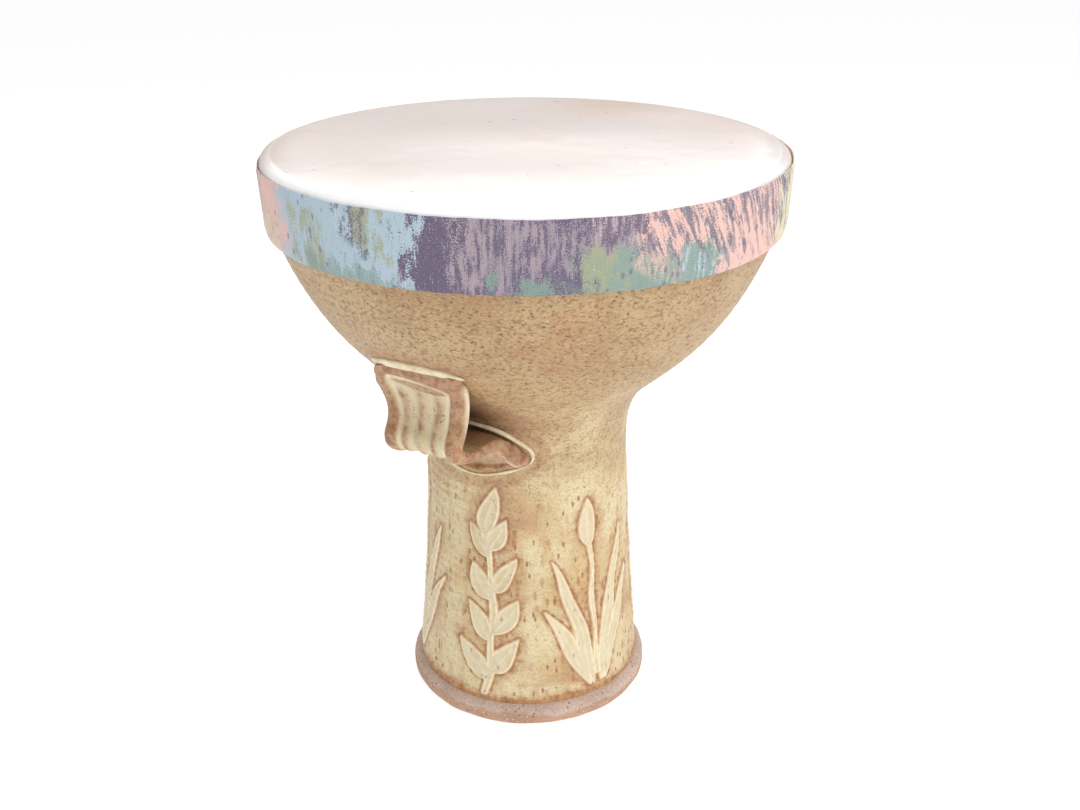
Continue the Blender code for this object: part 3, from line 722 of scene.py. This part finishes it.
# The glaze breaks brown on everything raised, and pools pale in the hollows and along the back of the edges.
# On the back of the strap, which faces the wall, the brown is partly painted shade and the dark tone is
# painted shade.
outer_half = np.where(on_pad > 0.5, from_eye > 0.90, border_off > 0)
rib_tone = ribs * (0.78 + 0.22 * np.sin(travel / 4.3 + 9 * share + 1.5 * np.sin(travel / 2.7)))
face_brown = 1.2 * np.maximum(raised, outer_half) + 0.95 * rib_tone + 0.8 * leaf
face_brown = np.clip(face_brown + 0.8 * on_pad * (1 - 0.14 * eye), 0, 1)
beside_border = hump(border_off, -border_width / 2 - 1, 1.2) * (1 - on_pad) * (1 - brow)
face_pale = np.clip(0.9 * brow_edge + 0.9 * eye_edge + 0.6 * crest + 0.6 * beside_border, 0, 1)
face_slip = np.clip(0.95 - face_brown, 0, 1)
near_pale = 0.85 * hump(edge_turn, 1.45, 0.95) * swell(2, 7, travel) * swell(38, 20, travel)
far_pale = 0.85 * hump(edge_turn, 1, 0.8) * hump(travel, 17, 5)
no_tone = 0 * near_pale
# On the back, facing the wall, the brown is partly painted shade, and the dark tone below is painted shade
paint_on(handle, "brown", round_section(face_brown, 0.95 - far_pale, 0.45, 0.95 - near_pale))
paint_on(handle, "slip", round_section(face_slip, no_tone, 0, no_tone))
paint_on(handle, "pale", round_section(face_pale, far_pale, 0, near_pale))
paint_on(handle, "painted_shade", round_section(0 * y, no_tone, 0.22, no_tone))
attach(handle, "root")
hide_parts("strap_handle")


# Slip along the handle's joints. Wet slip was smeared over the upper joint in a strip that tapers at both
# ends, and trailed in a thin line right round the pad. It fired paler than the glaze.

LOOP_HALF, LOOP_HEIGHT, LOOP_RISE = 30.2, 146.0, 14.3


def slip_line(name, angle, height, half_width, rise, looped):
    """A bead of slip on the wall along a line of angles and heights, of varying width and rise."""
    lean = wall_lean(height)
    middle = on_axis(wall_radius(height), angle, height)
    normal = on_axis(np.cos(lean), angle, -np.sin(lean))
    if looped:
        ahead = np.roll(middle, -1, axis=0) - np.roll(middle, 1, axis=0)
    else:
        ahead = np.gradient(middle, axis=0)
    across = np.cross(normal, unit(ahead))
    turn = np.linspace(0, tau, 20, endpoint=False)[None, :, None]
    sideways = across[:, None, :] * np.cos(turn) * half_width[:, None, None]
    bulge = np.sign(np.sin(turn)) * np.abs(np.sin(turn)) ** 0.6
    outward = normal[:, None, :] * (bulge * rise[:, None, None] + 0.25)
    return closed_mesh(name, middle[:, None, :] + outward + sideways, looped)


strip_y = np.linspace(-1, 1, 90)
strip_half = TOP_WIDTH / 2 + 0.6
strip_height = HANDLE_TOP + 1.1 - TOP_DROOP * strip_y**2 - STRAP_TILT * strip_y * strip_half
strip_angle = HANDLE_ANGLE - (strip_y * strip_half + 0.4) / wall_radius(HANDLE_TOP)
taper = np.sqrt(np.clip(1 - np.abs(strip_y) ** np.where(strip_y < 0, 2.5, 6), 0.01, 1))
strip_width = (2.6 + 0.4 * strip_y + 0.2 * np.sin(17 * strip_y)) * taper
upper_slip = slip_line("upper_slip", strip_angle, strip_height, strip_width, 1.2 * taper, False)
loop = np.linspace(-pi, pi, 220, endpoint=False)
loop_aside = LOOP_HALF * np.cos(loop) + 0.3 * np.sin(7 * loop)
loop_sag = PAD_SAG * swell(SAG_START, SAG_END, loop_aside) * swell(-0.8, 0.2, np.sin(loop))
loop_height = LOOP_HEIGHT + LOOP_RISE * np.sin(loop) + 0.35 * np.sin(5 * loop) - loop_sag
loop_angle = HANDLE_ANGLE + loop_aside / WAIST_RADIUS
bead = 0.62 + 0.42 * swell(-0.2, 0.6, np.sin(loop)) + 0.10 * np.sin(6 * loop + 1) + 0.07 * np.sin(13 * loop)
bead = bead * (1 - 0.75 * hump(loop, -0.42, 0.20))
pad_slip = slip_line("pad_slip", loop_angle, loop_height, bead, 0.9 * bead, True)


def pale_slip():
    """Cream slip under a thin coat of glaze, toasted in places."""
    slip = new_finish("pale_slip", IOR=1.5)
    place = slip.place()
    cloud = slip.noise(place, 150, 4, 0.6)
    cream = slip.mottled(cloud, 0.35, 0.65, "f4e8ca", "e5d3ac")
    toasted = slip.between(slip.noise(place, 420, 3), 0.58, 0.70)
    slip.wear(Base_Color=slip.layered(cream, ("b58a60", toasted, 0.40)))
    slip.wear(Roughness=slip.between(cloud, 0.2, 0.8, 0.42, 0.62))
    slip.bumped(slip.noise(place, 800, 3), 0.35, 0.0005)
    return slip.owner


creamy = pale_slip()
for trail, node in ((upper_slip, "upper_slip_coil"), (pad_slip, "lower_slip_coil")):
    trail.data.materials.append(creamy)
    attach(trail, "root")
    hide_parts(node)


# The glue. Hot hide glue brushed round the collar holds the skin's skirt. It is hidden under the skin, so
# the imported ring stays, with an amber finish.


def hide_glue():
    """Dried glue: amber, glossy and streaked by the brush."""
    glue = new_finish("hide_glue", IOR=1.53)
    streaks = glue.noise(glue.scaled(glue.place(), (1, 1, 6)), 160, 3)
    glue.wear(Base_Color=glue.mottled(streaks, 0.3, 0.7, "a9762f", "c99a4e"))
    glue.wear(Roughness=glue.between(streaks, 0.3, 0.7, 0.22, 0.40))
    glue.bumped(streaks, 0.3, 0.0003)
    return glue.owner


glue_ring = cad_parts["skin_glue_ring"]
glue_ring.data.materials.clear()
glue_ring.data.materials.append(hide_glue())


# The head. A goatskin soaked, stretched over the rim and glued down the collar as it dried drum-tight. It
# is cream and faintly clouded, with pores, flecks of hair root and warmer stains at the far edge. A painted
# highlight whitens its outer ring towards the front and the front of the rim's shoulder, painted shade greys
# its left and right ends, and the shoulder is duller at the sides.

SKIN_THICKNESS, SKIN_OFF = 0.6, 1.6
SKIN_TOP, SKIN_HEM = 276.9, 251.0
SKIN_SQUARE = 2.8
SKIN_TURNS = 200
SKIN_HIGHLIGHT, SKIN_TURNED = (98.0, 114.0), (112.5, 115.5)
SKIN_DULL, SKIN_SHADED_ENDS = (113.5, 115.2), (104.0, 112.5)
SKIN_STAINS = ((110.0, 10.0, 60.0, 1.0), (92.0, -64.0, 55.0, 0.55))  # x, y, reach and strength
SKIN_FRONT, SKIN_HIGHLIGHT_SIDE = radians(212.0), radians(232.0)


def skin_face(inset):
    """One face of the skin, a depth in from its outside, as (radius, height) points from middle to hem."""
    crown = float(wall_radius(RIM_TURN)) - RIM_ROUND
    flat = crown * np.linspace(0.004, 1, 60) ** 0.8
    turn = np.linspace(pi / 2, 0, 25)[1:]
    reach, rise = RIM_ROUND + SKIN_OFF - inset, SKIN_TOP - RIM_TURN - inset
    across, up = np.cos(turn) ** (2 / SKIN_SQUARE), np.sin(turn) ** (2 / SKIN_SQUARE)
    skirt = np.linspace(RIM_TURN, SKIN_HEM, 9)[1:]
    return np.concatenate([
        np.stack([flat, np.full(len(flat), SKIN_TOP - inset)], axis=-1),
        np.stack([crown + reach * across, RIM_TURN + rise * up], axis=-1),
        np.stack([wall_radius(skirt) + SKIN_OFF - inset, skirt], axis=-1),
    ])


skin_angle = np.arange(SKIN_TURNS)[None, :] * tau / SKIN_TURNS
skin_line = np.concatenate([skin_face(SKIN_THICKNESS), skin_face(0)[::-1]])
skin_radius, skin_height = skin_line[:, :1], skin_line[:, 1:]
spread_x, spread_y = skin_radius * np.cos(skin_angle), skin_radius * np.sin(skin_angle)
ripple = 0.07 * np.sin(spread_x / 17 + 1.2 * np.sin(spread_y / 29))
ripple = ripple + 0.06 * np.sin(spread_y / 21 + spread_x / 50) - 0.13
slack = swell(112, 70, skin_radius) * (skin_height > RIM_TURN)
skin = closed_mesh("skin", on_axis(skin_radius, skin_angle, skin_height + ripple * slack), looped=False)
# Painted highlight: white over the outer ring towards the front, a little to the right, and over the front
# of the shoulder
highlight_side = swell(0, 1, np.cos(skin_angle - SKIN_HIGHLIGHT_SIDE))
towards_front = np.cos(skin_angle - SKIN_FRONT)
turned_over = swell(*SKIN_TURNED, skin_radius) * swell(0, 0.6, towards_front)
paint_on(skin, "painted_highlight", swell(*SKIN_HIGHLIGHT, skin_radius) * np.maximum(highlight_side, turned_over))
both_sides = swell(0.9, 0.45, towards_front) * swell(-0.30, 0.05, towards_front)
paint_on(skin, "dull", swell(*SKIN_DULL, skin_radius) * both_sides)
# Painted shade: the skin's left and right ends, as the camera sees them, are greyed in colour and reflect
# less
far_ends = swell(0.50, 0.22, towards_front) * swell(-0.35, 0, towards_front)
paint_on(skin, "shaded_ends", swell(*SKIN_SHADED_ENDS, skin_radius) * far_ends)
stains = [
    strength * swell(reach, 0, np.hypot(spread_x - middle_x, spread_y - middle_y))
    for middle_x, middle_y, reach, strength in SKIN_STAINS
]
paint_on(skin, "stain", np.maximum.reduce(stains) * (skin_radius < 117))


def goatskin():
    """Scraped hide: creamy white, clouded, with fine pores, a few dark hair roots, two brown stains, a
    painted highlight and painted shade.
    """
    hide = new_finish("goatskin", IOR=1.45)
    place = hide.place()
    painted_highlight, shaded_ends = hide.painted("painted_highlight"), hide.painted("shaded_ends")
    cloud = hide.noise(place, 14, 4, 0.55)
    body = hide.mottled(cloud, 0.35, 0.68, "e7dad4", "ddcdc5")
    warm, pores = hide.noise(place, 31, 3), hide.noise(place, 1500, 1)
    roots = hide.noise(hide.scaled(place, (1, 0.55, 1)), 290, 1)
    body = hide.layered(
        # painted highlight: white towards the front and over the shoulder
        hide.over(painted_highlight, body, "ffffff"),
        # painted shade: grey at the left and right ends
        ("c4b5ab", shaded_ends, 0.45),
        ("d8bda8", hide.between(warm, 0.56, 0.78), 0.30),
        ("cfae90", hide.painted("stain"), hide.between(cloud, 0.30, 0.70, 0.35, 0.85)),
        ("c9b2a2", hide.between(pores, 0.50, 0.74), hide.between(painted_highlight, 0.3, 1, 0.20, 0)),
        ("8d7468", hide.between(roots, 0.765, 0.795), 0.55),
    )
    polish = hide.between(cloud, 0.25, 0.75, 0.13, 0.19)
    hide.wear(Base_Color=body, Roughness=hide.sum(polish, hide.times(hide.painted("dull"), 0.45)))
    hide.wear(Specular_IOR_Level=hide.between(shaded_ends, 0, 1, 0.5, 0.08))
    hide.bumped(hide.noise(place, 90, 2), 0.06, 0.0010)
    return hide.owner


skin.data.materials.append(goatskin())
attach(skin, "root")
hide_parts("drum_skin")


# The band. A strip of printed cotton pulled round the glued skirt to hide its hem, lapped and stuck down at
# the back. The print is dabs of dye dragged on with a dry brush.

BAND_HEIGHT, BAND_FOOT = 31.3, 244.5
BAND_OFF, BAND_THICKNESS = 1.9, 0.9
BAND_RADIUS = 119.7
BAND_LAP = 14.0
BAND_SEAM = radians(32.0)
BAND_STATIONS, BAND_POINTS = 460, 14
BAND_FRONT = 180.0

band_round = tau * BAND_RADIUS
band_length = band_round + BAND_LAP
run = np.linspace(0, band_length, BAND_STATIONS)[:, None]
turned = run / BAND_RADIUS
down_share = np.linspace(1, 0, BAND_POINTS)
up_share = np.concatenate([down_share, np.linspace(0, 1, BAND_POINTS)])[None, :]
on_outside = np.repeat([[1, 0]], BAND_POINTS, axis=1)
far_side = swell(-0.55, 0.25, np.cos(turned))
upper_edge = -1.2 - 0.4 * far_side - 1.9 * hump(turned, 1.4, 0.6) + 0.6 * hump(turned, 4.6, 0.5)
upper_edge += 0.22 * np.sin(run / 23) + 0.14 * np.sin(run / 6.3 + 1) + 0.06 * np.sin(run / 1.7)
lower_edge = 0.26 * np.sin(run / 31 + 2) + 0.12 * np.sin(run / 7.7) + 0.06 * np.sin(run / 1.9)
band_height = BAND_FOOT + up_share * BAND_HEIGHT + up_share * upper_edge + (1 - up_share) * lower_edge
lapped = (BAND_THICKNESS + 0.1) * swell(band_round - 8, band_round + 1, run)
pucker = 0.10 * np.sin(run / 5.1 + 2 * np.sin(run / 37)) * np.sin(pi * up_share)
edge_thin = 0.35 + 0.65 * (1 - (2 * up_share - 1) ** 14)
cut_end = 0.25 + 0.75 * swell(band_length, band_length - 2, run)
cloth_out = BAND_THICKNESS * on_outside * edge_thin * cut_end
band_radius = wall_radius(np.maximum(band_height, COLLAR_HEIGHT)) + BAND_OFF
band_radius = band_radius + cloth_out + pucker * on_outside + lapped
band = closed_mesh("band", on_axis(band_radius, BAND_SEAM + turned, band_height), looped=False)
for name, where in (
    ("run", run * MM),
    ("rise", up_share * BAND_HEIGHT * MM),
    ("turn", np.degrees(turned) - BAND_FRONT),
):
    paint_on(band, name, np.broadcast_to(where, band_height.shape))

# Each dab of dye: the middle and half width of its place round the band in degrees, its lower and upper
# edge as shares of the height, its colour, how fully it covers, and how dry the brush was. The scratches
# are laid over the dabs with a brush held aslant.
SKY, PLUM, MAUVE, TEAL = "b9d3e2", "644f72", "b7a7af", "8ba49a"
MOSS, ROSE, NAVY, STRAW = "adaf8a", "fdcdc1", "566580", "efe5c2"
DABS = (
    (-40, 50, -0.2, 1.2, SKY, 0.95, 0),
    (-84, 26, -0.2, 1.2, ROSE, 0.90, 0.1),
    (-68, 7, 0, 0.45, STRAW, 0.80, 0.3),
    (-77, 7, 0.45, 1.2, NAVY, 0.75, 0.8),
    (-63, 6, 0.1, 0.6, NAVY, 0.60, 1),
    (-46, 4, -0.2, 0.8, MOSS, 0.80, 0.6),
    (-30, 3, 0.45, 1.2, MOSS, 0.85, 0.3),
    (-36, 12, -0.2, 0.22, TEAL, 0.75, 0.4),
    (-34, 2, 0.5, 1.2, PLUM, 0.85, 0.2),
    (-40, 20, -0.2, 1.2, NAVY, 0.55, 1.42),
    (-58, 6, 0.1, 0.75, ROSE, 0.75, 0.70),
    (-5, 16, -0.2, 1.2, PLUM, 0.95, 0),
    (-7, 14, -0.2, 1.2, MAUVE, 0.85, 1.28),
    (-9, 4, 0, 1.2, MAUVE, 0.90, 0.62),
    (-1, 3, 0.1, 1.2, MAUVE, 0.85, 0.70),
    (6, 4, 0.3, 0.9, MAUVE, 0.80, 0.70),
    (2, 5, -0.2, 0.25, TEAL, 0.90, 0.1),
    (21, 11, -0.2, 0.72, TEAL, 0.95, 0),
    (14, 3, 0, 0.8, MOSS, 0.85, 0.3),
    (20, 10, 0.62, 1.2, MAUVE, 0.90, 0),
    (20, 9, 0.66, 1.2, PLUM, 0.85, 0.6),
    (36, 14, 0.45, 1.2, ROSE, 0.95, 0),
    (40, 9, -0.2, 0.40, SKY, 0.90, 0.1),
    (34, 11, -0.2, 0.50, TEAL, 0.90, 0.45),
    (55, 14, -0.2, 1.2, ROSE, 0.95, 0),
    (27, 3, 0.1, 0.75, ROSE, 0.70, 0.6),
    (76, 14, -0.2, 1.2, STRAW, 0.90, 0.1),
    (82, 7, -0.2, 0.5, MOSS, 0.60, 0.5),
    (86, 5, -0.2, 1.2, ROSE, 0.60, 0.5),
)
SCRATCHES = (
    (34, 12, 0.36, 1.2, NAVY, 0.82, 0.78),
    (54, 11, 0.60, 1.2, NAVY, 0.82, 0.70),
    (64, 6, 0.20, 1.2, NAVY, 0.82, 0.82),
    (50, 13, 0, 0.6, NAVY, 0.65, 1.02),
)
SLANT = radians(-24.0)
WEAVE_SCALE = 420.0


def printed_cotton():
    """Plain-woven cotton, printed all over with dabs of dye that the weave and the dry brush break up."""
    cotton = new_finish("printed_cotton", Roughness=0.88, Sheen_Weight=0.10)
    rise = cotton.painted("rise")
    flat = cotton.node("CombineXYZ", {"X": cotton.painted("run"), "Y": rise})
    threads = {"Vector": flat, "Scale": WEAVE_SCALE}
    warp, weft = (cotton.node("TexWave", threads, out="Fac", bands_direction=way) for way in "XY")
    weave = cotton.times(warp, weft)
    slanted = cotton.node("VectorRotate", {"Vector": flat, "Angle": SLANT}, rotation_type="Z_AXIS")
    canvas = cotton.noise(flat, 1500, 2)

    def dragged(place, drag, scale, rough, break_up):
        """Streaks of a brush along the cloth, broken up by its canvas."""
        streaks = cotton.noise(cotton.scaled(place, (1, drag, 1)), scale, 4, rough)
        return cotton.sum(streaks, cotton.between(canvas, 0.2, 0.8, -break_up, break_up))

    bristles = dragged(flat, 0.14, 430, 0.62, 0.09)
    slanting = dragged(slanted, 0.16, 430, 0.62, 0.09)
    ragged = dragged(flat, 0.35, 170, 0.65, 0.10)
    turn = cotton.sum(cotton.painted("turn"), cotton.between(ragged, 0.3, 0.7, -4.5, 4.5))
    turn = cotton.node("Math", {0: turn, 1: 90, 2: -90}, operation="WRAP")
    share = cotton.times(rise, 1 / (BAND_HEIGHT * MM))
    share = cotton.sum(share, cotton.between(ragged, 0.3, 0.7, 0.20, -0.20))
    dyed = cotton.mottled(bristles, 0.35, 0.7, "efe4d8", "e2d6c8")
    for brush, strokes in ((bristles, DABS), (slanting, SCRATCHES)):
        for middle, half, low, high, dye, cover, dryness in strokes:
            off = cotton.node("Math", {0: cotton.sum(turn, -middle)}, operation="ABSOLUTE")
            beside = cotton.between(off, half + 0.9, half - 0.9)
            above = cotton.between(share, low - 0.05, low + 0.05)
            below = cotton.between(share, high + 0.05, high - 0.05)
            place = cotton.times(cotton.times(beside, above), below)
            dry = cotton.between(brush, 0.22 + 0.28 * dryness, 0.36 + 0.28 * dryness)
            dyed = cotton.layered(dyed, (dye, cotton.times(place, dry), cover))
    flecks = cotton.specks(cotton.scaled(flat, (1, 0.6, 1)), 330, 0.40, 0.26)
    worn = cotton.between(cotton.noise(flat, 2100, 2), 0.50, 0.74)
    dyed = cotton.layered(dyed, (NAVY, flecks, 0.60), ("e9e1da", worn, 0.34))
    cotton.wear(Base_Color=cotton.over(cotton.between(weave, 0, 0.5, 0.14, 0), dyed, "6d645e"))
    cotton.bumped(weave, 0.4, 0.0003)
    return cotton.owner


band.data.materials.append(printed_cotton())
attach(band, "root")
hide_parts("cloth_band")


# The studio. A wide pale floor under a sky that is brighter on the right and hazy at the horizon. The key
# lamp is high on the right, a large one hangs overhead, a weaker one stands in front, and a low one behind
# lays a sheen on the front of the skin. The camera stands a little above the head.

CAMERA_TURN = radians(-58.0)
CAMERA_PLACE = (0.0062, -0.5641, 0.3985)
CAMERA_TIP, CAMERA_ROLL = radians(66.0), radians(-0.13)
CAMERA_LENS, CAMERA_SENSOR = 41.667, 36.0
FLOOR_HALF = 9.0
SKY_LEFT, SKY_RIGHT = 0.14, 0.62
HAZE_TOP, HAZE_FOOT = 0.15, 0.05
AIM = 0.15

studio = bpy.context.scene
studio.view_settings.view_transform = "Standard"
sky = Nodes(bpy.data.worlds.new("even_sky"), "Background", Color="ffffff")
towards = sky.node("TexCoord", {}, out="Generated")
to_right = {0: towards, 1: (cos(CAMERA_TURN), sin(CAMERA_TURN), 0)}
rightness = sky.node("VectorMath", to_right, out="Value", operation="DOT_PRODUCT")
glow = sky.node("MapRange", {"Value": rightness, "From Min": -1, "To Min": SKY_LEFT, "To Max": SKY_RIGHT})
haze = sky.between(sky.height(towards), HAZE_TOP, HAZE_FOOT)
sky.wear(Strength=sky.node("Mix", {"Factor": haze, "A": glow, "B": 1}, out="Result"))
studio.world = sky.owner


def lamp(name, turn, elevation, distance, size, power):
    """A broad soft lamp that looks at the drum, turned round it from the camera's side to the right."""
    light = bpy.data.lights.new(name, "AREA")
    light.shape = "RECTANGLE"
    light.size, light.size_y = size
    light.energy = power
    spin = Matrix.Rotation(CAMERA_TURN + radians(turn), 4, "Z")
    tip = Matrix.Rotation(radians(90 - elevation), 4, "X")
    holder = placed(name, light)
    aim = Matrix.Translation((0, 0, AIM)) @ spin @ tip
    holder.matrix_world = aim @ Matrix.Translation((0, 0, distance))
    holder.visible_camera = False


lamp("key_lamp", 58, 40, 1.6, (1.2, 1), 6)
lamp("top_lamp", 0, 78, 1.5, (1.2, 1.2), 10)
lamp("front_lamp", 10, 30, 1.7, (1.4, 1), 3.5)
lamp("back_lamp", 190, 26.5, 1.6, (1.8, 0.4), 8.5)

floor_mesh = bpy.data.meshes.new("floor")
corners = [(x * FLOOR_HALF, y * FLOOR_HALF, 0) for x, y in ((-1, -1), (1, -1), (1, 1), (-1, 1))]
floor_mesh.from_pydata(corners, [], [(0, 1, 2, 3)])
floor = placed("floor", floor_mesh)
paper = new_finish("white_paper", Base_Color="a8a8a8", Roughness=0.9)
paper.wear(Emission_Color="ffffff", Emission_Strength=0.80)
floor.data.materials.append(paper.owner)

lens = bpy.data.cameras.new("camera")
lens.lens, lens.sensor_width = CAMERA_LENS, CAMERA_SENSOR
camera = placed("camera", lens)
stand = Matrix.Rotation(CAMERA_TURN, 4, "Z") @ Matrix.Translation(CAMERA_PLACE)
camera.matrix_world = stand @ (Matrix.Rotation(CAMERA_TIP, 4, "X") @ Matrix.Rotation(CAMERA_ROLL, 4, "Z"))
studio.camera = camera

bpy.context.view_layer.update()
